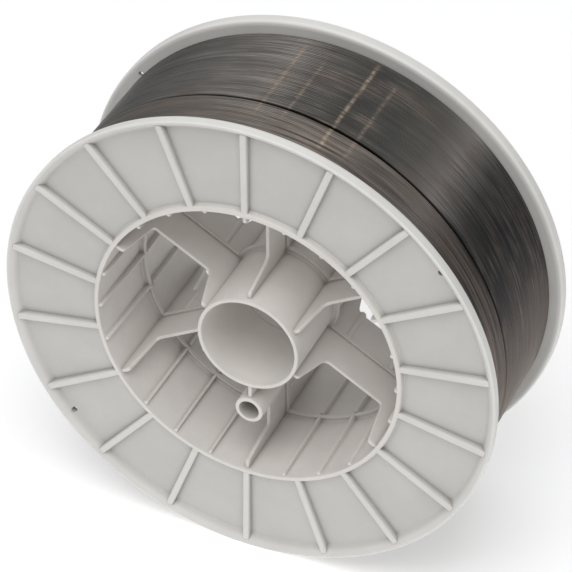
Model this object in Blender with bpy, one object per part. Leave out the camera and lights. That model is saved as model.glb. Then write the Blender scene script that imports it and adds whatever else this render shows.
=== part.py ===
"""A full spool of MIG welding wire, standing on its rims.

The spool is two halves, each injection moulded in one piece, set back to back. A half has
the flange with its raised rim and its face ribs, half of the barrel that the wire is wound
on, half of the hub tube with the spindle bore, six spokes, half of the drive pin tube and
the thin web that the spokes stand on. The back half's spokes also have round posts. The
wire is one wound body.

Lengths are in metres. The origin is the middle of the bore, the bore runs along Y, and
the front flange faces -Y. Radius is measured from the bore's axis, height from the plane
where the halves meet, and angle round the axis from +X towards +Z.
"""

import math

import bmesh
import bpy
from mathutils import Matrix, Vector

# Sizes of the whole spool
FLANGE_DIAMETER = 0.270
SPOOL_WIDTH = 0.102
JOINT_GAP = 0.0003

# Flange plate and its raised rim
PLATE_THICKNESS = 0.0023
RIM_THICKNESS = 0.007
RIM_WIDTH = 0.0058
RIM_SLOPE_WIDTH = 0.0038
RIM_CREST_ROUND = 0.0006
RIM_FRONT_ROUND = 0.0011
RIM_BACK_ROUND = 0.0027

# Ribs on the flange's outer face
FACE_RIB_COUNT = 18
FACE_RIB_HEIGHT = 0.0018
FACE_RIB_INNER_WIDTH = 0.003
FACE_RIB_OUTER_WIDTH = 0.005
FACE_RIB_CROWN = 0.45
FACE_RIB_SHOULDER = 0.75
FACE_RIB_ANGLE = math.radians(29.6)

# Barrel, the lip at its mouth and the ribs along its inside
BARREL_WALL = 0.0025
LIP_WIDTH = 0.003
LIP_HEIGHT = 0.0025
LIP_ROUND = 0.0007
BARREL_RIBS_BETWEEN_SPOKES = 3
BARREL_RIB_THICKNESS = 0.0018
BARREL_RIB_REACH = 0.0016
BARREL_RIB_BELOW_LIP = 0.001
BARREL_RIB_TIP_ROUND = 0.0009

# Hub tube and drive pin tube
BORE_DIAMETER = 0.0515
HUB_WALL = 0.0021
HUB_BELOW_RIM = 0.0047
HUB_END_ROUND = 0.0004
PIN_BORE_DIAMETER = 0.011
PIN_TUBE_WALL = 0.0022
PIN_CIRCLE_RADIUS = 0.0445
PIN_TUBE_BELOW_RIM = 0.0056
PIN_WEB_BELOW_TUBE = 0.0015

# Spokes
SPOKE_COUNT = 6
SPOKE_THICKNESS = 0.002
SPOKE_EDGE_BREAK = 0.0003
SPOKE_BELOW_HUB_END = 0.0029
SPOKE_HUB_SHELF = 0.0031
SPOKE_HUB_SLOPE = 0.0063
SPOKE_MIDDLE_HEIGHT = 0.0212
SPOKE_BARREL_SLOPE = 0.0043
SPOKE_BARREL_SHELF = 0.0049
SPOKE_BELOW_LIP = 0.0008
SPOKE_BEND_ROUND = 0.0025
SPOKE_END_ROUND = 0.0022

# Round posts that stand in the back half's spokes, at both ends of the notch
POST_DIAMETER = 0.004
POST_ABOVE_NOTCH = 0.0014
POST_END_ROUND = 0.0007
POST_FROM_HUB_END = 0.0027
POST_FROM_BARREL_END = 0.0058

# Web in the plane between the halves, and its windows
WEB_THICKNESS = 0.0012
WINDOW_HUB_LEDGE = 0.0027
WINDOW_BARREL_LEDGE = 0.0025
WINDOW_SPOKE_LEDGE = 0.0013

# Holes in the flange that the wire's ends are hooked into
HOOK_HOLE_DIAMETER = 0.003
HOOK_HOLE_INSET = 0.0057
HOOK_HOLE_COUNT = 2
HOOK_HOLE_ANGLE = math.radians(38)

# The wound wire, with one open turn near its front end
WINDING_DEPTH = 0.0433
WOUND_BELOW_FLANGE = 0.0067
WOUND_END_ROUND = 0.0006
OPEN_TURN_FROM_FLANGE = 0.028
OPEN_TURN_WIDTH = 0.0011
OPEN_TURN_DEPTH = 0.002

# How finely round forms are cut up, and how far a tool runs past what it cuts
TURNED_SEGMENTS = 72
TUBE_SEGMENTS = 24
HOLE_SEGMENTS = 12
POST_SEGMENTS = 12
WINDOW_ARC_STEPS = 10
ROUND_FACET = 0.0017
OVERRUN = 0.004
SHARP_ANGLE = math.radians(35)

# Heights and radii that follow from the sizes above
RIM_TOP = SPOOL_WIDTH / 2
PLATE_BACK = RIM_TOP - RIM_THICKNESS
PLATE_FRONT = PLATE_BACK + PLATE_THICKNESS
RIM_RADIUS = FLANGE_DIAMETER / 2
RIM_FOOT_RADIUS = RIM_RADIUS - RIM_WIDTH
RIM_CREST_RADIUS = RIM_FOOT_RADIUS + RIM_SLOPE_WIDTH
WOUND_RADIUS = RIM_RADIUS - WOUND_BELOW_FLANGE
BARREL_RADIUS = WOUND_RADIUS - WINDING_DEPTH
BARREL_INSIDE = BARREL_RADIUS - BARREL_WALL
LIP_FOOT_RADIUS = BARREL_INSIDE + LIP_WIDTH
LIP_TOP = PLATE_FRONT + LIP_HEIGHT
BORE_RADIUS = BORE_DIAMETER / 2
HUB_RADIUS = BORE_RADIUS + HUB_WALL
HUB_END = RIM_TOP - HUB_BELOW_RIM
JOINT_FACE = JOINT_GAP / 2
WEB_TOP = JOINT_FACE + WEB_THICKNESS
PIN_TUBE_RADIUS = PIN_BORE_DIAMETER / 2 + PIN_TUBE_WALL
PIN_TUBE_END = RIM_TOP - PIN_TUBE_BELOW_RIM
SPOKE_STEP = 2 * math.pi / SPOKE_COUNT
PIN_ANGLE = -math.pi / 2
NOTCH_INNER = HUB_RADIUS + SPOKE_HUB_SHELF + SPOKE_HUB_SLOPE
NOTCH_OUTER = BARREL_INSIDE - SPOKE_BARREL_SHELF - SPOKE_BARREL_SLOPE


def place(radius, offset, height, angle):
    """The point at a radius and height, moved sideways by offset, round the bore's axis."""
    outward = Vector((math.cos(angle), 0, math.sin(angle)))
    sideways = Vector((-math.sin(angle), 0, math.cos(angle)))
    return radius * outward + offset * sideways + Vector((0, -height, 0))


def round_corner(before, corner, after, radius):
    """The points of an arc that rounds one corner of an outline, limited by its sides."""
    if radius == 0:
        return [corner]
    back = before - corner
    ahead = after - corner
    half_angle = back.angle(ahead) / 2
    setback = min(radius / math.tan(half_angle), back.length / 2, ahead.length / 2)
    start = corner + setback * back.normalized()
    end = corner + setback * ahead.normalized()
    middle = (back.normalized() + ahead.normalized()).normalized()
    centre = corner + setback / math.cos(half_angle) * middle
    sweep = (start - centre).angle_signed(end - centre)
    steps = max(1, round(abs(sweep) * (start - centre).length / ROUND_FACET))
    points = []
    for step in range(steps + 1):
        turned = Matrix.Rotation(-sweep * step / steps, 2) @ (start - centre)
        points.append(centre + turned)
    return points


def rounded_outline(corners):
    """A closed outline of (radius, height) points from corners that may be rounded."""
    points = [Vector(corner[:2]) for corner in corners]
    outline = []
    for index, corner in enumerate(corners):
        radius = corner[2] if len(corner) == 3 else 0
        after = points[(index + 1) % len(points)]
        outline += round_corner(points[index - 1], points[index], after, radius)
    return outline


def new_object(name, shape):
    """An object in the scene made from a bmesh, with its faces pointing out."""
    bmesh.ops.recalc_face_normals(shape, faces=shape.faces)
    mesh = bpy.data.meshes.new(name)
    shape.to_mesh(mesh)
    shape.free()
    item = bpy.data.objects.new(name, mesh)
    bpy.context.scene.collection.objects.link(item)
    return item


def turned_solid(name, outline):
    """Spin a closed outline round the bore's axis, with its flats at the true radius."""
    step = 2 * math.pi / TURNED_SEGMENTS
    to_corner = 1 / math.cos(step / 2)
    shape = bmesh.new()
    ring = [shape.verts.new(place(r * to_corner, 0, h, step / 2)) for r, h in outline]
    for index, vert in enumerate(ring):
        shape.edges.new((ring[index - 1], vert))
    bmesh.ops.spin(
        shape,
        geom=shape.verts[:] + shape.edges[:],
        axis=(0, 1, 0),
        angle=2 * math.pi,
        steps=TURNED_SEGMENTS,
        use_merge=True,
    )
    return new_object(name, shape)


def add_loft(shape, first, last, edge_break=0):
    """Join two like closed outlines into a solid, with the edges of its ends broken."""
    start = [shape.verts.new(point) for point in first]
    end = [shape.verts.new(point) for point in last]
    for index in range(len(start)):
        shape.faces.new((start[index - 1], start[index], end[index], end[index - 1]))
    ends = [shape.faces.new(start), shape.faces.new(end)]
    if edge_break:
        edges = [edge for face in ends for edge in face.edges]
        bmesh.ops.bevel(shape, geom=edges, offset=edge_break, segments=1, affect="EDGES")


def add_tube(shape, radius, low, high, circle_radius, angle, segments, end_break=0):
    """Add a round bar along the bore's axis, whose flats are at the true radius."""
    corner_radius = radius / math.cos(math.pi / segments)
    turns = [2 * math.pi * (index + 0.5) / segments for index in range(segments)]
    ring = [(corner_radius * math.cos(t), corner_radius * math.sin(t)) for t in turns]
    first = [place(circle_radius + x, y, low, angle) for x, y in ring]
    last = [place(circle_radius + x, y, high, angle) for x, y in ring]
    add_loft(shape, first, last, end_break)


def half_body():
    """The turned form of one half: hub tube, web, barrel, lip, flange plate and rim."""
    corners = [
        (BORE_RADIUS, -OVERRUN),
        (BORE_RADIUS, HUB_END, HUB_END_ROUND),
        (HUB_RADIUS, HUB_END, HUB_END_ROUND),
        (HUB_RADIUS, WEB_TOP),
        (BARREL_INSIDE, WEB_TOP),
        (BARREL_INSIDE, LIP_TOP, LIP_ROUND),
        (LIP_FOOT_RADIUS, LIP_TOP, LIP_ROUND),
        (LIP_FOOT_RADIUS, PLATE_FRONT),
        (RIM_FOOT_RADIUS, PLATE_FRONT),
        (RIM_CREST_RADIUS, RIM_TOP, RIM_CREST_ROUND),
        (RIM_RADIUS, RIM_TOP, RIM_FRONT_ROUND),
        (RIM_RADIUS, PLATE_BACK, RIM_BACK_ROUND),
        (BARREL_RADIUS, PLATE_BACK),
        (BARREL_RADIUS, -OVERRUN),
    ]
    return turned_solid("spool_half", rounded_outline(corners))


def face_ribs():
    """The flat ribs that run across the flange's outer face from the lip to the rim."""
    inner = (BARREL_INSIDE + LIP_FOOT_RADIUS) / 2
    outer = (RIM_FOOT_RADIUS + RIM_CREST_RADIUS) / 2
    foot = PLATE_FRONT - PLATE_THICKNESS / 2
    top = PLATE_FRONT + FACE_RIB_HEIGHT
    shoulder = PLATE_FRONT + FACE_RIB_HEIGHT * FACE_RIB_SHOULDER
    shape = bmesh.new()
    for index in range(FACE_RIB_COUNT):
        angle = FACE_RIB_ANGLE + 2 * math.pi * index / FACE_RIB_COUNT
        sections = []
        for radius, width in ((inner, FACE_RIB_INNER_WIDTH), (outer, FACE_RIB_OUTER_WIDTH)):
            side = [
                (width / 2, foot),
                (width / 2, PLATE_FRONT),
                (width / 2 * (1 + FACE_RIB_CROWN) / 2, shoulder),
                (width / 2 * FACE_RIB_CROWN, top),
            ]
            outline = side + [(-offset, height) for offset, height in reversed(side)]
            sections.append([place(radius, offset, height, angle) for offset, height in outline])
        add_loft(shape, *sections)
    return new_object("face_ribs", shape)


def spokes():
    """The six upright spokes, each with a deep notch between its hub and barrel ends."""
    hub_top = HUB_END - SPOKE_BELOW_HUB_END
    barrel_top = LIP_TOP - SPOKE_BELOW_LIP
    corners = [
        (HUB_RADIUS - HUB_WALL / 2, -OVERRUN / 2),
        (HUB_RADIUS - HUB_WALL / 2, hub_top),
        (HUB_RADIUS + SPOKE_HUB_SHELF, hub_top, SPOKE_END_ROUND),
        (NOTCH_INNER, SPOKE_MIDDLE_HEIGHT, SPOKE_BEND_ROUND),
        (NOTCH_OUTER, SPOKE_MIDDLE_HEIGHT, SPOKE_BEND_ROUND),
        (BARREL_INSIDE - SPOKE_BARREL_SHELF, barrel_top, SPOKE_END_ROUND),
        (BARREL_RADIUS - BARREL_WALL / 2, barrel_top),
        (BARREL_RADIUS - BARREL_WALL / 2, -OVERRUN / 2),
    ]
    outline = rounded_outline(corners)
    return plates("spokes", outline, SPOKE_THICKNESS, spoke_angles())


def plates(name, outline, thickness, angles):
    """Upright plates of one outline that stand in planes through the bore's axis."""
    shape = bmesh.new()
    for angle in angles:
        sides = []
        for offset in (-thickness / 2, thickness / 2):
            sides.append([place(radius, offset, height, angle) for radius, height in outline])
        add_loft(shape, *sides, edge_break=SPOKE_EDGE_BREAK)
    return new_object(name, shape)


def spoke_angles():
    """The spokes' angles, counted from the one that carries the drive pin tube."""
    return [PIN_ANGLE + index * SPOKE_STEP for index in range(SPOKE_COUNT)]


def barrel_ribs():
    """The low ribs along the inside of the barrel, between the spokes."""
    crest = BARREL_INSIDE - BARREL_RIB_REACH
    root = BARREL_RADIUS - BARREL_WALL / 2
    top = LIP_TOP - BARREL_RIB_BELOW_LIP
    corners = [
        (root, -OVERRUN / 2),
        (crest, -OVERRUN / 2),
        (crest, top, BARREL_RIB_TIP_ROUND),
        (root, top),
    ]
    outline = rounded_outline(corners)
    pitch = SPOKE_STEP / (BARREL_RIBS_BETWEEN_SPOKES + 1)
    angles = []
    for spoke in spoke_angles():
        for index in range(BARREL_RIBS_BETWEEN_SPOKES):
            angles.append(spoke + (index + 1) * pitch)
    return plates("barrel_ribs", outline, BARREL_RIB_THICKNESS, angles)


def pin_tube():
    """The drive pin tube on the lowest spoke, before its bore is cut."""
    shape = bmesh.new()
    add_tube(
        shape, PIN_TUBE_RADIUS, -OVERRUN / 2, PIN_TUBE_END, PIN_CIRCLE_RADIUS, PIN_ANGLE,
        TUBE_SEGMENTS,
    )
    return new_object("pin_tube", shape)


def pin_web():
    """The short web that ties the drive pin tube to the hub tube."""
    top = PIN_TUBE_END - PIN_WEB_BELOW_TUBE
    outline = [
        (HUB_RADIUS - HUB_WALL / 2, WEB_TOP),
        (HUB_RADIUS - HUB_WALL / 2, top),
        (PIN_CIRCLE_RADIUS, top),
        (PIN_CIRCLE_RADIUS, WEB_TOP),
    ]
    return plates("pin_web", outline, SPOKE_THICKNESS, [PIN_ANGLE])


def spoke_posts():
    """The back half's round posts, two in each spoke and one beside the drive pin tube."""
    shape = bmesh.new()
    inner = NOTCH_INNER + POST_FROM_HUB_END
    outer = NOTCH_OUTER - POST_FROM_BARREL_END
    end = SPOKE_MIDDLE_HEIGHT + POST_ABOVE_NOTCH
    for angle in spoke_angles():
        for radius in (inner, outer):
            if radius == inner and angle == PIN_ANGLE:
                continue
            add_tube(
                shape, POST_DIAMETER / 2, -OVERRUN / 2, end, radius, angle, POST_SEGMENTS,
                POST_END_ROUND,
            )
    return new_object("spoke_posts", shape)


def windows():
    """Cutter for the six windows in the web, one between each two spokes."""
    inner = HUB_RADIUS + WINDOW_HUB_LEDGE
    outer = BARREL_INSIDE - WINDOW_BARREL_LEDGE
    side = SPOKE_THICKNESS / 2 + WINDOW_SPOKE_LEDGE
    shape = bmesh.new()
    for spoke in spoke_angles():
        outline = []
        for radius, direction in ((inner, -1), (outer, 1)):
            reach = SPOKE_STEP / 2 - math.asin(side / radius)
            for step in range(WINDOW_ARC_STEPS + 1):
                turn = direction * reach * (1 - 2 * step / WINDOW_ARC_STEPS)
                outline.append((radius, turn))
        middle = spoke + SPOKE_STEP / 2
        first = [place(radius, 0, -2 * OVERRUN, middle + turn) for radius, turn in outline]
        last = [place(radius, 0, WEB_TOP + OVERRUN, middle + turn) for radius, turn in outline]
        add_loft(shape, first, last)
    return new_object("windows", shape)


def small_holes():
    """Cutter for the drive pin's bore and the holes that the wire's ends are hooked into."""
    shape = bmesh.new()
    add_tube(
        shape, PIN_BORE_DIAMETER / 2, -2 * OVERRUN, PIN_TUBE_END + OVERRUN,
        PIN_CIRCLE_RADIUS, PIN_ANGLE, TUBE_SEGMENTS,
    )
    for index in range(HOOK_HOLE_COUNT):
        angle = HOOK_HOLE_ANGLE + 2 * math.pi * index / HOOK_HOLE_COUNT
        add_tube(
            shape, HOOK_HOLE_DIAMETER / 2, PLATE_BACK - OVERRUN, RIM_TOP + OVERRUN,
            RIM_RADIUS - HOOK_HOLE_INSET, angle, HOLE_SEGMENTS,
        )
    return new_object("small_holes", shape)


def joint_trim():
    """Cutter that trims every part of the half flush with its joint face."""
    size = 2 * (BARREL_RADIUS + OVERRUN)
    shape = bmesh.new()
    bmesh.ops.create_cube(shape, size=1)
    depth = 3 * OVERRUN
    bmesh.ops.scale(shape, vec=(size, depth, size), verts=shape.verts)
    bmesh.ops.translate(shape, vec=(0, depth / 2 - JOINT_FACE, 0), verts=shape.verts)
    return new_object("joint_trim", shape)


def moulded_half(extra_forms):
    """The mesh of one half, with every rib, spoke and tube joined and every hole cut."""
    half = half_body()
    tools = [
        (windows(), "DIFFERENCE"),
        (spokes(), "UNION"),
        (barrel_ribs(), "UNION"),
        (pin_web(), "UNION"),
        (pin_tube(), "UNION"),
        (face_ribs(), "UNION"),
        *[(form, "UNION") for form in extra_forms],
        (small_holes(), "DIFFERENCE"),
        (joint_trim(), "DIFFERENCE"),
    ]
    for tool, operation in tools:
        tool.hide_render = True
        tool.display_type = "WIRE"
        boolean = half.modifiers.new(tool.name, "BOOLEAN")
        boolean.operation = operation
        boolean.object = tool
        boolean.solver = "EXACT"
    graph = bpy.context.evaluated_depsgraph_get()
    mesh = bpy.data.meshes.new_from_object(half.evaluated_get(graph))
    for item in [half] + [tool for tool, operation in tools]:
        bpy.data.objects.remove(item)
    return mesh


def wound_wire():
    """The wire on the barrel as one solid, with the groove of its one open turn."""
    bore = BARREL_RADIUS + JOINT_GAP
    end = PLATE_BACK - JOINT_GAP
    groove_floor = WOUND_RADIUS - OPEN_TURN_DEPTH
    groove_front = PLATE_BACK - OPEN_TURN_FROM_FLANGE + OPEN_TURN_WIDTH / 2
    groove_back = groove_front - OPEN_TURN_WIDTH
    corners = [
        (bore, -end),
        (bore, end),
        (WOUND_RADIUS, end, WOUND_END_ROUND),
        (WOUND_RADIUS, groove_front),
        (groove_floor, groove_front),
        (groove_floor, groove_back),
        (WOUND_RADIUS, groove_back),
        (WOUND_RADIUS, -end, WOUND_END_ROUND),
    ]
    return turned_solid("wire_winding", rounded_outline(corners))


def material(name, colour, roughness, metallic):
    """A plain surface of one colour."""
    surface = bpy.data.materials.new(name)
    surface.use_nodes = True
    shader = surface.node_tree.nodes["Principled BSDF"]
    shader.inputs["Base Color"].default_value = (*colour, 1)
    shader.inputs["Roughness"].default_value = roughness
    shader.inputs["Metallic"].default_value = metallic
    return surface


def finish(item, surface):
    """Give an object its own material and smooth shading with crisp edges."""
    if not item.data.materials:
        item.data.materials.append(None)
    item.material_slots[0].link = "OBJECT"
    item.material_slots[0].material = surface
    item.data.shade_smooth()
    item.data.set_sharp_from_angle(angle=SHARP_ANGLE)


for old in list(bpy.data.objects):
    bpy.data.objects.remove(old)

GREY_PLASTIC = (0.52, 0.51, 0.49)
for name, turn, extra_forms in (
    ("front_spool_half", 0, []),
    ("back_spool_half", math.pi, [spoke_posts()]),
):
    half = bpy.data.objects.new(name, moulded_half(extra_forms))
    half.rotation_euler = (0, 0, turn)
    bpy.context.scene.collection.objects.link(half)
    finish(half, material(name + "_plastic", GREY_PLASTIC, 0.5, 0))

winding = wound_wire()
finish(winding, material("bare_steel_wire", (0.08, 0.075, 0.072), 0.45, 0.9))
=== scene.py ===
"""A full plastic spool of MIG welding wire that stands on its rims on a pale floor.

Lengths are in metres. The origin is the middle of the bore, the bore runs along Y and the
front flange faces -Y. Radius is measured from the bore's axis, height from the plane where
the two halves meet, and angle round the axis from +X towards +Z.
"""

import math

import bmesh
import bpy
import numpy as np
from mathutils import Matrix, Vector


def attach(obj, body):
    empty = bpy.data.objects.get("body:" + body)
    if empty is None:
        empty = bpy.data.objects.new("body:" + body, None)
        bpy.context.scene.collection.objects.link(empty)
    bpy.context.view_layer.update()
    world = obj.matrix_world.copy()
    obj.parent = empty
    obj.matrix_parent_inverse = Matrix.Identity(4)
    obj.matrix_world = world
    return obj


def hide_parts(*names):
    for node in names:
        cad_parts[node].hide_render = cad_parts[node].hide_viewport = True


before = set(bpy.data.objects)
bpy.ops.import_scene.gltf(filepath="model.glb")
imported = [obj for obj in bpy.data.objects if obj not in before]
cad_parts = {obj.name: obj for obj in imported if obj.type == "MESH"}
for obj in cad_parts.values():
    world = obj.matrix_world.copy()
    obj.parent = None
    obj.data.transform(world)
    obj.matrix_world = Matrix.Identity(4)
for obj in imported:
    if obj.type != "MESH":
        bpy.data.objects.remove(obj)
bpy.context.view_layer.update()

# The two moulded halves of the spool.
# Each is one injection moulding in pale grey polystyrene: flange, rim, ribs, barrel, hub tube,
# spokes and drive pin tube in one piece. They are set back to back and carry the wire.

RIM_RADIUS = 0.135
RIM_TOP = 0.051
RIM_CREST_RADIUS = 0.1334
RIM_FOOT_RADIUS = 0.1292
RIM_FOOT_ROUND = 0.001
RIM_CREST_ROUND = 0.0009
RIM_EDGE_ROUND = 0.0017
RIM_BACK_ROUND = 0.0028
PLATE_BACK = 0.044
PLATE_FRONT = 0.0463
BARREL_RADIUS = 0.085
BARREL_INSIDE = 0.0825
BARREL_FOOT_ROUND = 0.0005
LIP_TOP = 0.0496
LIP_LEAN = 0.0001
LIP_OUTER_RADIUS = 0.085
LIP_FOOT_RADIUS = 0.0855
LIP_INNER_ROUND = 0.0006
LIP_OUTER_ROUND = 0.0011
LIP_FOOT_ROUND = 0.0007
BORE_RADIUS = 0.02575
HUB_RADIUS = 0.02785
HUB_END = 0.0463
HUB_END_ROUND = 0.0007
WEB_TOP = 0.00135
WEB_CORNER_ROUND = 0.0008
JOINT_FACE = 0.00015
# How far a form runs on past the joint, or a cutter past the form that it cuts
OVERRUN = 0.004
ROUND_FACET = math.radians(15)
# The share of a straight piece that the round at one of its ends may take
LONGEST_SETBACK = 0.48


def rounded_outline(corners):
    """The (radius, height) points of a closed outline; a corner's third number rounds it."""
    points = [Vector(corner[:2]) for corner in corners]
    outline = []
    for index, corner in enumerate(corners):
        here = points[index]
        if len(corner) == 2:
            outline.append(here)
            continue
        back = points[index - 1] - here
        ahead = points[(index + 1) % len(points)] - here
        half_angle = back.angle(ahead) / 2
        setback = min(
            corner[2] / math.tan(half_angle),
            back.length * LONGEST_SETBACK,
            ahead.length * LONGEST_SETBACK,
        )
        radius = setback * math.tan(half_angle)
        middle = (back.normalized() + ahead.normalized()).normalized()
        centre = here + radius / math.sin(half_angle) * middle
        start = here + setback * back.normalized() - centre
        end = here + setback * ahead.normalized() - centre
        sweep = start.angle_signed(end)
        steps = max(1, math.ceil(abs(sweep) / ROUND_FACET))
        for step in range(steps + 1):
            outline.append(centre + Matrix.Rotation(-sweep * step / steps, 2) @ start)
    return outline


def soft_min(first, second, reach):
    """The smaller of two values, blended where they are closer together than reach."""
    near = np.maximum(reach - np.abs(first - second), 0) / reach
    return np.minimum(first, second) - near * near * reach / 4


SPOKE_ANGLES = [math.radians(60 * spoke - 90) for spoke in range(6)]
BARREL_RIB_ANGLES = [spoke + math.radians(15 * rib) for spoke in SPOKE_ANGLES for rib in (1, 2, 3)]
BARREL_RIB_REACH = 0.0018
BARREL_RIB_DRAFT = 0.03
BARREL_RIB_HALF_WIDTH = 0.0011
BARREL_RIB_TOP = 0.0487
BARREL_RIB_TIP_ROUND = 0.0009
BARREL_RIB_CROWN = 5
BARREL_RIB_FILLET = 0.0005
# Columns of points across a barrel rib, in half widths from its middle
BARREL_RIB_CUTS = (0, 0.55, 0.8, 0.93, 1.0, 1.1, 1.35)
WIDEST_COLUMN = math.radians(1.7)


def turn_from_nearest(angles, centres):
    """How far each angle is turned from the nearest of the centres."""
    turns = (angles[:, None] - np.asarray(centres)[None, :] + math.pi) % (2 * math.pi) - math.pi
    return turns[np.arange(len(angles)), np.argmin(np.abs(turns), axis=1)]


def column_angles():
    """The angles of the moulding's columns: close together across a rib, wider between ribs."""
    half_angle = BARREL_RIB_HALF_WIDTH / BARREL_INSIDE
    angles = set()
    for centre in BARREL_RIB_ANGLES:
        for cut in BARREL_RIB_CUTS:
            for side in (1, -1):
                angles.add(round((centre + side * cut * half_angle) % (2 * math.pi), 6))
    angles = sorted(angles)
    filled = []
    for here, after in zip(angles, angles[1:] + [angles[0] + 2 * math.pi]):
        steps = max(1, math.ceil((after - here) / WIDEST_COLUMN))
        filled += [here + (after - here) * step / steps for step in range(steps)]
    return np.array(filled)


def solid(name, shape):
    """An object in the scene made from a bmesh, with its faces turned outwards."""
    bmesh.ops.recalc_face_normals(shape, faces=shape.faces)
    mesh = bpy.data.meshes.new(name)
    shape.to_mesh(mesh)
    shape.free()
    item = bpy.data.objects.new(name, mesh)
    bpy.context.scene.collection.objects.link(item)
    return item


def turned_ring(name, radius, height, angles):
    """A closed ring from tables of radius and height, with a column for each angle."""
    points = np.stack([radius * np.cos(angles), -height, radius * np.sin(angles)], axis=-1)
    rows, columns = radius.shape
    here = np.arange(rows * columns).reshape(rows, columns)
    above = np.roll(here, -1, axis=0)
    faces = np.stack([here, np.roll(here, -1, axis=1), np.roll(above, -1, axis=1), above], axis=-1)
    mesh = bpy.data.meshes.new(name)
    mesh.from_pydata(points.reshape(-1, 3).tolist(), [], faces.reshape(-1, 4).tolist())
    shape = bmesh.new()
    shape.from_mesh(mesh)
    return solid(name, shape)


# Rows of points between the outline's corners: radii across the web, the flange's face and its
# back, heights up the inside of the barrel, and depths below the top of a barrel rib
WEB_ROWS = (0.052, 0.0795)
FACE_ROWS = (0.0935, 0.105, 0.1165, 0.125)
BACK_ROWS = (0.1195, 0.102)
BARREL_ROWS = (0.0245, 0.0465)
RIB_TOP_ROWS = (0.0009, 0.00055, 0.00025, 0.00005, -0.00002)
# The radii between which the outline belongs to the barrel's inside wall and its foot
RIBBED_WALL = (0.0765, 0.084)
FLAT_TOLERANCE = 1e-6


def half_body():
    """Hub tube, web, barrel, lip, flange and rim as one turned form, with the barrel's ribs."""
    corners = [
        (BORE_RADIUS, -OVERRUN),
        (BORE_RADIUS, HUB_END, HUB_END_ROUND),
        (HUB_RADIUS, HUB_END, HUB_END_ROUND),
        (HUB_RADIUS, WEB_TOP, WEB_CORNER_ROUND),
        *[(radius, WEB_TOP) for radius in WEB_ROWS],
        (BARREL_INSIDE, WEB_TOP, WEB_CORNER_ROUND),
        *[(BARREL_INSIDE, height) for height in BARREL_ROWS],
        *[(BARREL_INSIDE, BARREL_RIB_TOP - depth) for depth in RIB_TOP_ROWS],
        (BARREL_INSIDE + LIP_LEAN, LIP_TOP, LIP_INNER_ROUND),
        (LIP_OUTER_RADIUS, LIP_TOP, LIP_OUTER_ROUND),
        (LIP_FOOT_RADIUS, PLATE_FRONT, LIP_FOOT_ROUND),
        *[(radius, PLATE_FRONT) for radius in FACE_ROWS],
        (RIM_FOOT_RADIUS, PLATE_FRONT, RIM_FOOT_ROUND),
        (RIM_CREST_RADIUS, RIM_TOP, RIM_CREST_ROUND),
        (RIM_RADIUS, RIM_TOP, RIM_EDGE_ROUND),
        (RIM_RADIUS, PLATE_BACK, RIM_BACK_ROUND),
        *[(radius, PLATE_BACK) for radius in BACK_ROWS],
        (BARREL_RADIUS, PLATE_BACK, BARREL_FOOT_ROUND),
        (BARREL_RADIUS, -OVERRUN),
    ]
    outline = np.array([tuple(point) for point in rounded_outline(corners)])
    angles = column_angles()
    radius = np.repeat(outline[:, :1], len(angles), axis=1)
    height = np.repeat(outline[:, 1:], len(angles), axis=1)

    turns = np.abs(turn_from_nearest(angles, BARREL_RIB_ANGLES))
    across = turns * BARREL_INSIDE / BARREL_RIB_HALF_WIDTH
    below_top = np.clip((BARREL_RIB_TOP - height) / BARREL_RIB_TIP_ROUND, 0, 1)
    reach = BARREL_RIB_REACH - BARREL_RIB_TIP_ROUND * (1 - np.sqrt(1 - (1 - below_top) ** 2))
    reach = reach + BARREL_RIB_DRAFT * np.clip(BARREL_RIB_TOP - height, 0, BARREL_RIB_TOP)
    rib_radius = BARREL_INSIDE - reach * (1 - across ** BARREL_RIB_CROWN)
    ribbed = (height > WEB_TOP - FLAT_TOLERANCE) & (height < BARREL_RIB_TOP)
    ribbed &= (radius > RIBBED_WALL[0]) & (radius < RIBBED_WALL[1])
    radius = np.where(ribbed, soft_min(radius, rib_radius, BARREL_RIB_FILLET), radius)
    return turned_ring("half_body", radius, height, angles)


def place(radius, sideways, height, angle):
    """The point at a radius and height, moved sideways, round the bore's axis."""
    outward = Vector((math.cos(angle), 0, math.sin(angle)))
    along = Vector((-math.sin(angle), 0, math.cos(angle)))
    return radius * outward + sideways * along + Vector((0, -height, 0))


def add_layers(shape, layers):
    """Join like closed outlines, one after another, into a solid."""
    rings = [[shape.verts.new(point) for point in layer] for layer in layers]
    for first, last in zip(rings, rings[1:]):
        for index in range(len(first)):
            shape.faces.new((first[index - 1], first[index], last[index], last[index - 1]))
    shape.faces.new(rings[0])
    shape.faces.new(rings[-1])


PLATE_HALF_THICKNESS = 0.001
PLATE_EDGE_ROUND = 0.0005
EDGE_STEPS = 4
# Keeps a narrow corner of an outline that is moved inwards from running away
SHARPEST_MITRE = 0.5


def rounded_edge(size):
    """The steps of a rounded edge: how far each lies inside the side and inside the end."""
    turns = [math.pi / 2 * step / EDGE_STEPS for step in range(EDGE_STEPS + 1)]
    return [(size * (1 - math.cos(turn)), size * (1 - math.sin(turn))) for turn in turns]


def inset(outline, distance):
    """A closed outline moved inwards all round by a distance."""
    moved = []
    for index, here in enumerate(outline):
        back = (here - outline[index - 1]).normalized()
        ahead = (outline[(index + 1) % len(outline)] - here).normalized()
        middle = (back + ahead).normalized()
        inward = Vector((-middle.y, middle.x))
        moved.append(here + distance / max(SHARPEST_MITRE, middle.dot(ahead)) * inward)
    return moved


def add_plate(shape, corners, angle, half_thickness, edge_round):
    """Add an upright plate with rounded edges, in a plane through the bore's axis."""
    outline = rounded_outline(corners)[::-1]
    edge = [(half_thickness - inside, depth) for inside, depth in rounded_edge(edge_round)]
    layers = []
    for sideways, depth in [(-sideways, depth) for sideways, depth in edge] + edge[::-1]:
        layers.append([place(point.x, sideways, point.y, angle) for point in inset(outline, depth)])
    add_layers(shape, layers)


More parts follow.
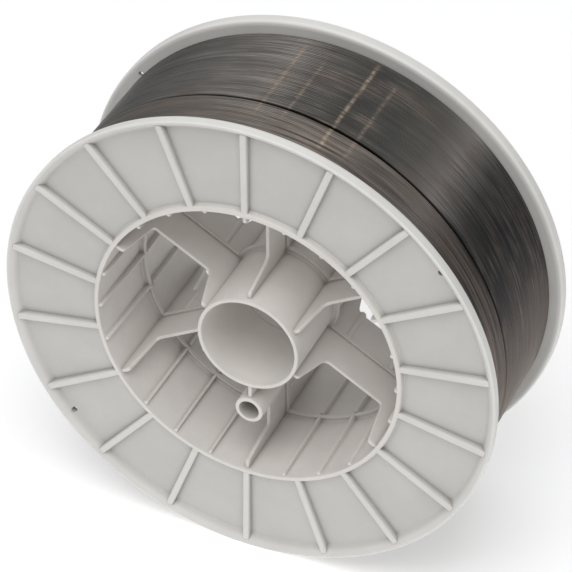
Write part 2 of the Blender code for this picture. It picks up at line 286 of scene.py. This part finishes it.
FACE_RIB_COUNT = 18
FACE_RIB_FIRST = math.radians(29.8)
FACE_RIB_INNER = 0.0848
FACE_RIB_OUTER = 0.1328
FACE_RIB_FOOT = PLATE_BACK + 0.0005
FACE_RIB_INNER_TOP = 0.0492
FACE_RIB_OUTER_TOP = 0.0503
FACE_RIB_END_ROUND = 0.0009
FACE_RIB_HALF_WIDTH = 0.0018
FACE_RIB_EDGE_ROUND = 0.0009


def face_ribs():
    """The 18 ribs on the flange's face, from the barrel's lip to the rim."""
    corners = [
        (FACE_RIB_INNER, FACE_RIB_FOOT),
        (FACE_RIB_INNER, FACE_RIB_INNER_TOP),
        (FACE_RIB_OUTER, FACE_RIB_OUTER_TOP, FACE_RIB_END_ROUND),
        (FACE_RIB_OUTER, FACE_RIB_FOOT),
    ]
    shape = bmesh.new()
    for rib in range(FACE_RIB_COUNT):
        angle = FACE_RIB_FIRST + 2 * math.pi * rib / FACE_RIB_COUNT
        add_plate(shape, corners, angle, FACE_RIB_HALF_WIDTH, FACE_RIB_EDGE_ROUND)
    return solid("face_ribs", shape)


NOTCH_HEIGHT = 0.0212
NOTCH_INNER = 0.0373
NOTCH_INNER_ROUND = 0.004
NOTCH_OUTER = 0.0733
NOTCH_OUTER_ROUND = 0.0025
SPOKE_INNER = HUB_RADIUS - 0.001
SPOKE_OUTER = BARREL_RADIUS - 0.00125
SPOKE_HUB_SHELF = 0.031
SPOKE_HUB_TOP = 0.0434
SPOKE_BARREL_SHELF = 0.0776
SPOKE_BARREL_TOP = 0.048
SPOKE_SHELF_ROUND = 0.0022


def spokes():
    """Six upright spokes, each with a deep notch between its hub end and its barrel end."""
    corners = [
        (SPOKE_INNER, -OVERRUN / 2),
        (SPOKE_INNER, SPOKE_HUB_TOP),
        (SPOKE_HUB_SHELF, SPOKE_HUB_TOP, SPOKE_SHELF_ROUND),
        (NOTCH_INNER, NOTCH_HEIGHT, NOTCH_INNER_ROUND),
        (NOTCH_OUTER, NOTCH_HEIGHT, NOTCH_OUTER_ROUND),
        (SPOKE_BARREL_SHELF, SPOKE_BARREL_TOP, SPOKE_SHELF_ROUND),
        (SPOKE_OUTER, SPOKE_BARREL_TOP),
        (SPOKE_OUTER, -OVERRUN / 2),
    ]
    shape = bmesh.new()
    for angle in SPOKE_ANGLES:
        add_plate(shape, corners, angle, PLATE_HALF_THICKNESS, PLATE_EDGE_ROUND)
    return solid("spokes", shape)


def add_bar(shape, outline, circle_radius, angle, segments):
    """Add a round bar along the bore's axis from its (radius, height) outline."""
    turns = [2 * math.pi * (step + 0.5) / segments for step in range(segments)]
    layers = []
    for radius, height in outline:
        ring = []
        for turn in turns:
            outward = circle_radius + radius * math.cos(turn)
            ring.append(place(outward, radius * math.sin(turn), height, angle))
        layers.append(ring)
    add_layers(shape, layers)


def round_ended(radius, end, edge_round):
    """The outline of a bar that starts below the joint and has a rounded end."""
    edge = [(radius - inside, end - depth) for inside, depth in rounded_edge(edge_round)]
    return [(radius, -OVERRUN / 2)] + edge


PIN_CIRCLE_RADIUS = 0.0445
PIN_TUBE_RADIUS = 0.0077
PIN_TUBE_END = 0.0454
PIN_TUBE_ROUND = 0.0007
PIN_WEB_END = 0.0439
PIN_WEB_FOOT = WEB_TOP - 0.001
TUBE_SEGMENTS = 64


def pin_tube():
    """The drive pin tube on the lowest spoke, with a rounded end, before its bore is cut."""
    shape = bmesh.new()
    outline = round_ended(PIN_TUBE_RADIUS, PIN_TUBE_END, PIN_TUBE_ROUND)
    add_bar(shape, outline, PIN_CIRCLE_RADIUS, SPOKE_ANGLES[0], TUBE_SEGMENTS)
    return solid("pin_tube", shape)


def pin_web():
    """The short web that ties the drive pin tube to the hub tube."""
    corners = [
        (SPOKE_INNER, PIN_WEB_FOOT),
        (SPOKE_INNER, PIN_WEB_END),
        (PIN_CIRCLE_RADIUS, PIN_WEB_END),
        (PIN_CIRCLE_RADIUS, PIN_WEB_FOOT),
    ]
    shape = bmesh.new()
    add_plate(shape, corners, SPOKE_ANGLES[0], PLATE_HALF_THICKNESS, PLATE_EDGE_ROUND)
    return solid("pin_web", shape)


POST_RADIUS = 0.002
POST_END = 0.0226
POST_END_ROUND = 0.0008
POST_CIRCLES = (0.04, 0.0675)
POST_SEGMENTS = 32


def spoke_posts():
    """The round posts in the back half's spokes, one at each end of the notch.

    The drive pin tube takes the place of the inner post on the lowest spoke.
    """
    shape = bmesh.new()
    outline = round_ended(POST_RADIUS, POST_END, POST_END_ROUND)
    for angle in SPOKE_ANGLES:
        for circle_radius in POST_CIRCLES:
            if angle != SPOKE_ANGLES[0] or circle_radius > PIN_CIRCLE_RADIUS:
                add_bar(shape, outline, circle_radius, angle, POST_SEGMENTS)
    return solid("spoke_posts", shape)


WINDOW_LEDGE_HUB = 0.0027
WINDOW_LEDGE_BARREL = 0.0025
WINDOW_LEDGE_SPOKE = 0.0013
WINDOW_EDGE_DEPTH = 0.0003
WINDOW_EDGE_WIDTH = 0.0004
WINDOW_CLEARANCE = 0.0001
# Odd, so that no point of the cutter lies on a column of points of the turned body
WINDOW_ARC_STEPS = 25
HALF_SPOKE_STEP = math.pi / 6


def windows():
    """Cutter for the six windows in the web, one between each two spokes."""
    levels = (
        (-2 * OVERRUN, 0),
        (WEB_TOP - WINDOW_EDGE_DEPTH, 0),
        (WEB_TOP + WINDOW_CLEARANCE, WINDOW_EDGE_WIDTH),
    )
    shape = bmesh.new()
    for spoke in SPOKE_ANGLES:
        layers = []
        for height, wider in levels:
            inner = HUB_RADIUS + WINDOW_LEDGE_HUB - wider
            outer = BARREL_INSIDE - WINDOW_LEDGE_BARREL + wider
            side = PLATE_HALF_THICKNESS + WINDOW_LEDGE_SPOKE - wider
            layer = []
            for radius, direction in ((inner, -1), (outer, 1)):
                reach = HALF_SPOKE_STEP - math.asin(side / radius)
                for step in range(WINDOW_ARC_STEPS + 1):
                    turn = direction * reach * (1 - 2 * step / WINDOW_ARC_STEPS)
                    layer.append(place(radius, 0, height, spoke + HALF_SPOKE_STEP + turn))
            layers.append(layer)
        add_layers(shape, layers)
    return solid("windows", shape)


PIN_BORE_RADIUS = 0.0055
PIN_BORE_EDGE = 0.0004
PIN_BORE_EDGE_BEND = 0.3 * PIN_BORE_EDGE
PIN_BORE_CLEARANCE = 0.00005
HOOK_HOLE_ANGLE = math.radians(38)
HOOK_HOLE_RADIUS = 0.0015
HOOK_HOLE_SEGMENTS = 32
HOOK_CIRCLE_RADIUS = 0.1293


def small_holes():
    """Cutter for the drive pin's bore and the two holes that the wire's ends are hooked into."""
    shape = bmesh.new()
    outline = [
        (PIN_BORE_RADIUS, -2 * OVERRUN),
        (PIN_BORE_RADIUS, PIN_TUBE_END - PIN_BORE_EDGE),
        (PIN_BORE_RADIUS + PIN_BORE_EDGE_BEND, PIN_TUBE_END - PIN_BORE_EDGE_BEND),
        (PIN_BORE_RADIUS + PIN_BORE_EDGE, PIN_TUBE_END + PIN_BORE_CLEARANCE),
        (PIN_BORE_RADIUS + PIN_BORE_EDGE, PIN_TUBE_END + OVERRUN),
    ]
    add_bar(shape, outline, PIN_CIRCLE_RADIUS, SPOKE_ANGLES[0], TUBE_SEGMENTS)
    outline = [(HOOK_HOLE_RADIUS, PLATE_BACK - OVERRUN), (HOOK_HOLE_RADIUS, RIM_TOP + OVERRUN)]
    for turn in (0, math.pi):
        add_bar(shape, outline, HOOK_CIRCLE_RADIUS, HOOK_HOLE_ANGLE + turn, HOOK_HOLE_SEGMENTS)
    return solid("small_holes", shape)


def joint_trim():
    """Cutter that trims the half flush with its joint face."""
    size = 2 * (BARREL_RADIUS + OVERRUN)
    depth = 3 * OVERRUN
    shape = bmesh.new()
    bmesh.ops.create_cube(shape, size=1)
    bmesh.ops.scale(shape, vec=(size, depth, size), verts=shape.verts)
    bmesh.ops.translate(shape, vec=(0, depth / 2 - JOINT_FACE, 0), verts=shape.verts)
    return solid("joint_trim", shape)


def moulded_half(extra_forms):
    """The mesh of one half, with everything joined and every hole cut."""
    half = half_body()
    tools = [(windows(), "DIFFERENCE")]
    tools += [(form(), "UNION") for form in [face_ribs, spokes, pin_web, pin_tube] + extra_forms]
    tools += [(small_holes(), "DIFFERENCE"), (joint_trim(), "DIFFERENCE")]
    for tool, operation in tools:
        boolean = half.modifiers.new(tool.name, "BOOLEAN")
        boolean.operation = operation
        boolean.object = tool
        boolean.solver = "MANIFOLD"
    graph = bpy.context.evaluated_depsgraph_get()
    mesh = bpy.data.meshes.new_from_object(half.evaluated_get(graph))
    for item in [half] + [tool for tool, operation in tools]:
        bpy.data.objects.remove(item)
    return mesh


def fed(tree, socket, value):
    """Link a socket to an input of a node, or set the input to a number or a colour."""
    if isinstance(value, bpy.types.NodeSocket):
        tree.links.new(value, socket)
    elif socket.type == "RGBA":
        socket.default_value = (*value, 1)
    else:
        socket.default_value = value


def joined(tree, kind, settings, *inputs):
    """Add a shader node and fill its inputs in order; None skips one."""
    node = tree.nodes.new(kind)
    for name, value in settings.items():
        setattr(node, name, value)
    for socket, value in zip(node.inputs, inputs):
        if value is not None:
            fed(tree, socket, value)
    return node.outputs[0]


def calculated(tree, operation, *values):
    """A number worked out from sockets and numbers."""
    return joined(tree, "ShaderNodeMath", {"operation": operation}, *values)


def noise(tree, vector, scale, detail=3.0, roughness=0.5):
    """A cloudy pattern, from 0 to 1."""
    return joined(tree, "ShaderNodeTexNoise", {}, vector, None, scale, detail, roughness)


def ranged(tree, value, low, high, to_low=0.0, to_high=1.0):
    """A value moved smoothly from one range into another and held inside it."""
    settings = {"interpolation_type": "SMOOTHSTEP"}
    return joined(tree, "ShaderNodeMapRange", settings, value, low, high, to_low, to_high)


def blended(tree, factor, first, second, kind="MIX"):
    """A mix of two colours, each of them a socket or three numbers."""
    node = tree.nodes.new("ShaderNodeMix")
    node.data_type = "RGBA"
    node.blend_type = kind
    fed(tree, node.inputs[0], factor)
    fed(tree, node.inputs[6], first)
    fed(tree, node.inputs[7], second)
    return node.outputs[2]


def multiplied(tree, first, second):
    """The product of two colours."""
    return blended(tree, 1.0, first, second, "MULTIPLY")


def new_surface(name):
    """An empty surface with its tree, its shader and the place on the object."""
    surface = bpy.data.materials.new(name)
    surface.use_nodes = True
    tree = surface.node_tree
    where = tree.nodes.new("ShaderNodeTexCoord").outputs["Object"]
    return surface, tree, tree.nodes["Principled BSDF"], where


def axes(tree, where):
    """The X, Y and Z of a place."""
    return joined(tree, "ShaderNodeSeparateXYZ", {}, where).node.outputs


def from_bore(tree, where):
    """The distance from the bore's axis and the height from the joint, on either side of it."""
    x, y, z = axes(tree, where)
    squares = [calculated(tree, "MULTIPLY", part, part) for part in (x, z)]
    radius = calculated(tree, "SQRT", calculated(tree, "ADD", *squares))
    return radius, calculated(tree, "ABSOLUTE", y)


PLASTIC_FACE = (0.595, 0.582, 0.558)
PLASTIC_HIGHLIGHT = (0.87, 0.857, 0.825)
# Painted fill light: the same plastic painted lighter and warmer inside the barrel than on the face
PLASTIC_INSIDE_PAINTED_LIGHT = (0.76, 0.73, 0.695)
# Where the rib crests and the rim's outer edge get a painted highlight, paler than the face:
# heights above the flange's face, radii at the rim's outer edge
HIGHLIGHT_HEIGHTS = (PLATE_FRONT + 0.0008, PLATE_FRONT + 0.0035)
HIGHLIGHT_RADII = (RIM_CREST_RADIUS, RIM_RADIUS - 0.0002)
RAISED_HIGHLIGHT_SHARE = 0.5
# Where the inside of the barrel gives way to the flange's face
MOUTH_RADII = (0.0845, 0.0865)
CLOUD_SCALE = 38.0
CLOUD_RANGE = (0.3, 0.7)
CLOUD_DARK = (0.96, 0.96, 0.96)
CLOUD_LIGHT = (1.02, 1.02, 1.02)
# Painted shade in tight corners, and a thinner coat of it deep inside the barrel
CORNER_SHADE = (0.3, 0.27, 0.25)
CORNER_REACH = 0.004
CORNER_OPENNESS = (0.85, 0.2)
CORNER_SHARES = (0.7, 0.85)
CORNER_SAMPLES = 6
DEEP_REACH = 0.014
DEEP_OPENNESS = (0.85, 0.25)
DEEP_RADII = (0.0835, 0.082)
DEEP_SHARE = 0.5
GLOSS_SCALE = 90.0
PLASTIC_ROUGHNESS = (0.4, 0.52)
GRAIN_SCALE = 700.0
GRAIN_STRENGTH = 0.06
GRAIN_HEIGHT = 0.0003


def openness(tree, reach):
    """How open a place is within a reach: 1 in the open, 0 in a tight corner."""
    node = tree.nodes.new("ShaderNodeAmbientOcclusion")
    node.samples = CORNER_SAMPLES
    node.only_local = True
    node.inputs["Distance"].default_value = reach
    return node.outputs["AO"]


def grey_polystyrene():
    """Grey polystyrene, clouded and finely grained, with painted light: a painted highlight on rib
    crests and the rim's edge, painted fill light inside the barrel, and painted shade in corners.
    """
    surface, tree, shader, where = new_surface("grey_polystyrene")
    radius, height = from_bore(tree, where)
    # Painted highlight: paler plastic on the rib crests and the rim's outer edge
    raised_highlight = ranged(tree, height, *HIGHLIGHT_HEIGHTS)
    raised_highlight = calculated(tree, "MULTIPLY", raised_highlight, RAISED_HIGHLIGHT_SHARE)
    highlight = calculated(tree, "MAXIMUM", raised_highlight, ranged(tree, radius, *HIGHLIGHT_RADII))
    outside = blended(tree, highlight, PLASTIC_FACE, PLASTIC_HIGHLIGHT)
    # Painted fill light: the inside of the barrel is painted lighter than the face
    colour = blended(tree, ranged(tree, radius, *MOUTH_RADII), PLASTIC_INSIDE_PAINTED_LIGHT, outside)
    cloud = ranged(tree, noise(tree, where, CLOUD_SCALE, 4.0, 0.6), *CLOUD_RANGE)
    colour = multiplied(tree, colour, blended(tree, cloud, CLOUD_DARK, CLOUD_LIGHT))

    # Painted shade: darker where a place is closed in, deep inside the barrel and in tight corners
    deep = calculated(tree, "MULTIPLY", ranged(tree, radius, *DEEP_RADII), DEEP_SHARE)
    closed = ranged(tree, openness(tree, DEEP_REACH), *DEEP_OPENNESS)
    colour = blended(tree, calculated(tree, "MULTIPLY", deep, closed), colour, CORNER_SHADE)
    corner = ranged(tree, openness(tree, CORNER_REACH), *CORNER_OPENNESS)
    share = ranged(tree, radius, *MOUTH_RADII, *CORNER_SHARES)
    colour = blended(tree, calculated(tree, "MULTIPLY", corner, share), colour, CORNER_SHADE)
    fed(tree, shader.inputs["Base Color"], colour)

    gloss = ranged(tree, noise(tree, where, GLOSS_SCALE), *CLOUD_RANGE, *PLASTIC_ROUGHNESS)
    fed(tree, shader.inputs["Roughness"], gloss)
    bump = tree.nodes.new("ShaderNodeBump")
    fed(tree, bump.inputs["Strength"], GRAIN_STRENGTH)
    fed(tree, bump.inputs["Distance"], GRAIN_HEIGHT)
    fed(tree, bump.inputs["Height"], noise(tree, where, GRAIN_SCALE, 2.0))
    fed(tree, shader.inputs["Normal"], bump.outputs["Normal"])
    return surface


PLASTIC_SHARP_ANGLE = math.radians(35)

plastic = grey_polystyrene()
for name, node, extra_forms, turned in (
    ("front_half_moulding", "front_spool_half", [], 0),
    ("back_half_moulding", "back_spool_half", [spoke_posts], math.pi),
):
    mesh = moulded_half(extra_forms)
    mesh.transform(Matrix.Rotation(turned, 4, "Z"))
    mesh.shade_smooth()
    mesh.set_sharp_from_angle(angle=PLASTIC_SHARP_ANGLE)
    mesh.materials.clear()
    mesh.materials.append(plastic)
    half = bpy.data.objects.new(name, mesh)
    bpy.context.scene.collection.objects.link(half)
    even = half.modifiers.new("even_normals", "WEIGHTED_NORMAL")
    even.keep_sharp = True
    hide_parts(node)
    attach(half, "root")

# The wound wire.
# About 15 kg of dark, lightly oiled steel welding wire, wound side by side in layers on the
# barrel. Its last layer has one open turn, and tan streaks across the turns are painted highlights.

WOUND_RADIUS = 0.1283
WIRE_PITCH = 0.0012
WIRE_END = 0.0437
WIRE_BORE = 0.0853
WIRE_COLUMNS = 300
WIRE_SHARP_ANGLE = math.radians(50)
# Points across one turn of wire: share of its width, and depth below its crest
TURN_PROFILE = ((0.0, 0.00042), (0.25, 0.0001), (0.5, 0.0), (0.75, 0.0001))
VALLEY_DEPTH = TURN_PROFILE[0][1]

# The open turn wanders round the spool as the layer below does: size and turn of its two waves
GAP_WIDTH = 0.0019
GAP_DEPTH = 0.004
GAP_HEIGHT = 0.015
GAP_WAVE = (0.0021, math.radians(32))
GAP_RIPPLE = (0.0009, math.radians(25))


def gap_line(angles):
    """Height of the open turn round the spool."""
    wave = GAP_WAVE[0] * np.cos(angles - GAP_WAVE[1])
    return GAP_HEIGHT + wave + GAP_RIPPLE[0] * np.cos(2 * (angles - GAP_RIPPLE[1]))


# No turn lies quite even: it drifts in slow waves round the spool and sits a little off its place
WIRE_SEED = 15
DRIFT_WAVES = (1, 2, 3, 5, 8, 13)
DRIFT_SPREAD = 2.2
DRIFT_ALONG = 0.00004
DRIFT_OUTWARDS = 0.00003
OFF_PLACE = 0.00003


def wandering(random, angles, turns, size):
    """How far each turn of wire strays from its place, all round the spool."""
    drift = np.zeros((turns, len(angles)))
    for waves in DRIFT_WAVES:
        phase = random.uniform(0, 2 * math.pi, (turns, 1))
        drift += random.normal(0, 1, (turns, 1)) * np.cos(waves * angles + phase) / math.sqrt(waves)
    return size * drift / DRIFT_SPREAD + random.normal(0, OFF_PLACE, (turns, 1))


def wound_wire():
    """The winding: a ring whose outside is one rounded ridge for each turn of wire."""
    random = np.random.default_rng(WIRE_SEED)
    angles = np.linspace(0, 2 * math.pi, WIRE_COLUMNS, endpoint=False) - math.pi / 2
    all_round = np.ones_like(angles)
    end = WIRE_END * all_round
    gap = gap_line(angles)
    back_turns = round((gap.mean() - GAP_WIDTH / 2 + WIRE_END) / WIRE_PITCH)
    front_turns = round((WIRE_END - gap.mean() - GAP_WIDTH / 2) / WIRE_PITCH)
    along = wandering(random, angles, back_turns + front_turns, DRIFT_ALONG)
    rise = wandering(random, angles, back_turns + front_turns, DRIFT_OUTWARDS)

    rows = [(-end, WIRE_BORE * all_round)]
    number = 0
    for count, low, high in (
        (back_turns, -end, gap - GAP_WIDTH / 2),
        (front_turns, gap + GAP_WIDTH / 2, end),
    ):
        for turn in range(count):
            for share, depth in TURN_PROFILE:
                from_edge = min(turn + share, count - turn - share, 1)
                height = low + (high - low) * (turn + share) / count + along[number] * from_edge
                rows.append((height, WOUND_RADIUS - depth + rise[number] * (share > 0)))
            number += 1
        rows.append((high, (WOUND_RADIUS - VALLEY_DEPTH) * all_round))
        if number == back_turns:
            rows.append((high, (WOUND_RADIUS - GAP_DEPTH) * all_round))
            rows.append((high + GAP_WIDTH, (WOUND_RADIUS - GAP_DEPTH) * all_round))
    rows.append((end, WIRE_BORE * all_round))
    height, radius = np.array(rows).transpose(1, 0, 2)
    return turned_ring("wound_wire", radius, height, angles)


# Tint of the wire round the spool with a painted reflection in dark and pale bands: degrees, then
# red, green and blue
WIRE_TINT_AND_REFLECTION = (
    (-180, (0.15, 0.145, 0.135)),
    (-60, (0.16, 0.15, 0.138)),
    (-12, (0.2, 0.165, 0.14)),
    (0, (0.155, 0.13, 0.115)),
    (8, (0.13, 0.11, 0.1)),
    (16, (0.065, 0.06, 0.06)),
    (30, (0.06, 0.059, 0.063)),
    (40, (0.11, 0.105, 0.102)),
    (49, (0.38, 0.35, 0.33)),
    (56, (0.17, 0.16, 0.148)),
    (64, (0.066, 0.067, 0.062)),
    (75, (0.038, 0.037, 0.034)),
    (86, (0.1, 0.095, 0.088)),
    (94, (0.33, 0.305, 0.28)),
    (106, (0.33, 0.31, 0.29)),
    (125, (0.19, 0.19, 0.18)),
    (180, (0.15, 0.145, 0.135)),
)
ZONE_WOBBLE = math.radians(9)


def tint_and_reflection(tree, turn):
    """The wire's tint and painted reflection at a turn round the spool."""
    ramp = tree.nodes.new("ShaderNodeValToRGB")
    fed(tree, ramp.inputs[0], calculated(tree, "MULTIPLY_ADD", turn, 0.5 / math.pi, 0.5))
    stops = ramp.color_ramp.elements
    while len(stops) < len(WIRE_TINT_AND_REFLECTION):
        stops.new(0.5)
    for stop, (degrees, colour) in zip(stops, WIRE_TINT_AND_REFLECTION):
        stop.position = (degrees + 180) / 360
        stop.color = (*colour, 1)
    return ramp.outputs[0]


def ahead_of_gap(tree, angle, height):
    """How far a place lies in front of the middle of the open turn."""
    wave = calculated(tree, "COSINE", calculated(tree, "SUBTRACT", angle, GAP_WAVE[1]))
    doubled = calculated(tree, "MULTIPLY_ADD", angle, 2.0, -2 * GAP_RIPPLE[1])
    gap = calculated(tree, "MULTIPLY_ADD", wave, GAP_WAVE[0], GAP_HEIGHT)
    gap = calculated(tree, "MULTIPLY_ADD", calculated(tree, "COSINE", doubled), GAP_RIPPLE[0], gap)
    return calculated(tree, "SUBTRACT", height, gap)


def stretched_noise(tree, where, scales, detail, roughness=0.5):
    """A cloudy pattern with one scale round the spool and another along its bore."""
    round_the_spool, along_the_bore = scales
    scale = (round_the_spool, along_the_bore, round_the_spool)
    stretched = joined(tree, "ShaderNodeVectorMath", {"operation": "MULTIPLY"}, where, scale)
    return noise(tree, stretched, 1.0, detail, roughness)


# Tan streaks across the turns, painted highlights: degrees, back end and front end of the streak,
# and strength
HIGHLIGHT_STREAKS = (
    (92.2, -0.037, 0.024, 0.8),
    (86, -0.029, 0.024, 0.3),
    (75.3, -0.041, 0.033, 0.5),
    (69.4, -0.033, 0.032, 0.28),
)
STREAK_HALF_WIDTH = 0.0017
STREAK_WOBBLE = 0.016
STREAK_FADE = 0.003
STREAK_HIGHLIGHT_COLOUR = (0.5, 0.385, 0.29)
BEAD_RANGE = (0.4, 0.62, 0.3, 1.0)
# Scales of the patterns, each one round the spool and along its bore
LINE_SCALES = (22.0, 1100.0)
PATCH_SCALES = (30.0, 90.0)
BEAD_SCALES = (260.0, 620.0)
# Oxide in patches and lines, and more of it in the turns in front of the open one
BROWN_OXIDE = (0.2, 0.16, 0.135)
BROWN_PATCHES = (0.42, 0.7)
BROWN_LINES = (0.35, 0.7)
FRONT_OXIDE = (0.27, 0.223, 0.19)
FRONT_START = (0.0005, 0.0015)
FRONT_LINES = (0.3, 0.7, 0.1, 0.6)
LINE_DARK = (0.55, 0.55, 0.55)
LINE_LIGHT = (1.1, 1.1, 1.1)
LINE_RANGE = (0.3, 0.75)
GAP_SHADE = (0.012, 0.011, 0.011)
GAP_SHADE_RADII = (WOUND_RADIUS - 0.0007, WOUND_RADIUS - 0.0014)
WIRE_GLOSS = (0.3, 0.7, 0.3, 0.5)
WIRE_METALLIC = 0.85


def dark_steel_wire():
    """Dark steel with oil and oxide: lines along the turns, a tint with painted reflection round
    the spool, and painted highlight streaks.
    """
    surface, tree, shader, where = new_surface("dark_steel_wire")
    x, y, z = axes(tree, where)
    height = calculated(tree, "MULTIPLY", y, -1.0)
    angle = calculated(tree, "ARCTAN2", z, x)
    lines = stretched_noise(tree, where, LINE_SCALES, 4.0, 0.6)
    patches = stretched_noise(tree, where, PATCH_SCALES, 3.0, 0.6)
    beads = ranged(tree, stretched_noise(tree, where, BEAD_SCALES, 2.0), *BEAD_RANGE)

    # Painted reflection: dark and pale bands round the spool over the wire's tint
    wobble = calculated(tree, "MULTIPLY_ADD", lines, ZONE_WOBBLE, -ZONE_WOBBLE / 2)
    colour = tint_and_reflection(tree, calculated(tree, "ADD", angle, wobble))
    brown = ranged(tree, patches, *BROWN_PATCHES)
    brown = calculated(tree, "MULTIPLY", brown, ranged(tree, lines, *BROWN_LINES))
    colour = blended(tree, brown, colour, BROWN_OXIDE)
    front = ranged(tree, ahead_of_gap(tree, angle, height), *FRONT_START)
    front = calculated(tree, "MULTIPLY", front, ranged(tree, lines, *FRONT_LINES))
    colour = blended(tree, front, colour, FRONT_OXIDE)

    # Painted highlights: tan streaks across the turns
    for degrees, back_end, front_end, strength in HIGHLIGHT_STREAKS:
        to_middle = -STREAK_WOBBLE / 2 - math.radians(degrees)
        nudged = calculated(tree, "MULTIPLY_ADD", patches, STREAK_WOBBLE, to_middle)
        away = calculated(tree, "ABSOLUTE", calculated(tree, "ADD", angle, nudged))
        mark = ranged(tree, away, STREAK_HALF_WIDTH / WOUND_RADIUS, 0.0, 0.0, strength)
        for tip, fade in ((back_end, STREAK_FADE), (front_end, -STREAK_FADE)):
            mark = calculated(tree, "MULTIPLY", mark, ranged(tree, height, tip - fade, tip + fade))
        colour = blended(tree, calculated(tree, "MULTIPLY", mark, beads), colour, STREAK_HIGHLIGHT_COLOUR)

    line_shade = blended(tree, ranged(tree, lines, *LINE_RANGE), LINE_DARK, LINE_LIGHT)
    colour = multiplied(tree, colour, line_shade)
    in_gap = ranged(tree, from_bore(tree, where)[0], *GAP_SHADE_RADII)
    fed(tree, shader.inputs["Base Color"], blended(tree, in_gap, colour, GAP_SHADE))
    fed(tree, shader.inputs["Roughness"], ranged(tree, lines, *WIRE_GLOSS))
    fed(tree, shader.inputs["Metallic"], WIRE_METALLIC)
    return surface


winding = wound_wire()
winding.data.shade_smooth()
winding.data.set_sharp_from_angle(angle=WIRE_SHARP_ANGLE)
winding.data.materials.append(dark_steel_wire())
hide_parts("wire_winding")
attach(winding, "root")

# Floor, light and camera.
# A sheet of pale paper under the spool, an even bright studio round it with a darker side at
# the back right, a large soft lamp above the front, and the camera where the photo was taken.

FLOOR_RADIUS = 0.9
FLOOR_SEGMENTS = 96
PAPER_SHADE = (0.86, 0.86, 0.86)
PAPER_LIGHT = (0.9, 0.9, 0.9)
PAPER_SCALE = 4.0
PAPER_ROUGHNESS = 0.9
# Painted light: the paper glows though it is no lamp
PAPER_PAINTED_GLOW = 0.42


def pale_floor():
    """A round sheet of paper under the spool."""
    shape = bmesh.new()
    ring = []
    for step in range(FLOOR_SEGMENTS):
        turn = 2 * math.pi * step / FLOOR_SEGMENTS
        edge = (FLOOR_RADIUS * math.cos(turn), FLOOR_RADIUS * math.sin(turn), -RIM_RADIUS)
        ring.append(shape.verts.new(edge))
    shape.faces.new(ring)
    return solid("pale_floor", shape)


def pale_paper():
    """Matt white paper with a painted glow, which lifts the shadow under the spool and lights it a
    little from below.
    """
    surface, tree, shader, where = new_surface("pale_paper")
    clouds = noise(tree, where, PAPER_SCALE)
    fed(tree, shader.inputs["Base Color"], blended(tree, clouds, PAPER_SHADE, PAPER_LIGHT))
    fed(tree, shader.inputs["Roughness"], PAPER_ROUGHNESS)
    fed(tree, shader.inputs["Emission Color"], (1, 1, 1))
    fed(tree, shader.inputs["Emission Strength"], PAPER_PAINTED_GLOW)
    return surface


floor = pale_floor()
floor.data.materials.append(pale_paper())

DARK_SIDE = Vector((0.74, 0.66, -0.12)).normalized()
DARK_SIDE_EDGE = (0.65, 0.95)
STUDIO_BRIGHT = (0.98, 0.99, 1.0)
STUDIO_DARK = (0.15, 0.15, 0.16)
STUDIO_STRENGTH = 0.44

studio = bpy.data.worlds.new("studio")
bpy.context.scene.world = studio
studio.use_nodes = True
sky = studio.node_tree
direction = sky.nodes.new("ShaderNodeTexCoord").outputs["Generated"]
toward = sky.nodes.new("ShaderNodeVectorMath")
toward.operation = "DOT_PRODUCT"
fed(sky, toward.inputs[0], direction)
fed(sky, toward.inputs[1], DARK_SIDE)
darkness = ranged(sky, toward.outputs["Value"], *DARK_SIDE_EDGE)
background = sky.nodes["Background"]
fed(sky, background.inputs["Color"], blended(sky, darkness, STUDIO_BRIGHT, STUDIO_DARK))
fed(sky, background.inputs["Strength"], STUDIO_STRENGTH)

LAMP_POSITION = Vector((0.1, -0.75, 1.6))
LAMP_SIZE = 1.1
LAMP_POWER = 14.5

lamp = bpy.data.lights.new("key_lamp", "AREA")
lamp.size = LAMP_SIZE
lamp.energy = LAMP_POWER
lamp_holder = bpy.data.objects.new("key_lamp", lamp)
bpy.context.scene.collection.objects.link(lamp_holder)
lamp_holder.location = LAMP_POSITION
lamp_holder.rotation_euler = (-LAMP_POSITION).to_track_quat("-Z", "Y").to_euler()

PICTURE_WIDTH = 572
FOCAL_LENGTH_IN_PIXELS = 2774.06
CAMERA_TURN = math.radians(24.22)
CAMERA_LIFT = math.radians(38.83)
CAMERA_RIGHT = 0.00055
CAMERA_UP = 0.00313
CAMERA_BACK = 1.4285
CAMERA_SEES = (0.1, 20)

right = Vector((math.cos(CAMERA_TURN), math.sin(CAMERA_TURN), 0))
level_back = Vector((right.y, -right.x, 0))
back = math.cos(CAMERA_LIFT) * level_back + Vector((0, 0, math.sin(CAMERA_LIFT)))
up = back.cross(right)
camera_data = bpy.data.cameras.new("camera")
camera_data.lens = FOCAL_LENGTH_IN_PIXELS / PICTURE_WIDTH * camera_data.sensor_width
camera_data.clip_start, camera_data.clip_end = CAMERA_SEES
camera = bpy.data.objects.new("camera", camera_data)
bpy.context.scene.collection.objects.link(camera)
spot = right * CAMERA_RIGHT + up * CAMERA_UP + back * CAMERA_BACK
camera.matrix_world = Matrix.Translation(spot) @ Matrix((right, up, back)).transposed().to_4x4()
bpy.context.scene.camera = camera
bpy.context.scene.view_settings.view_transform = "Standard"
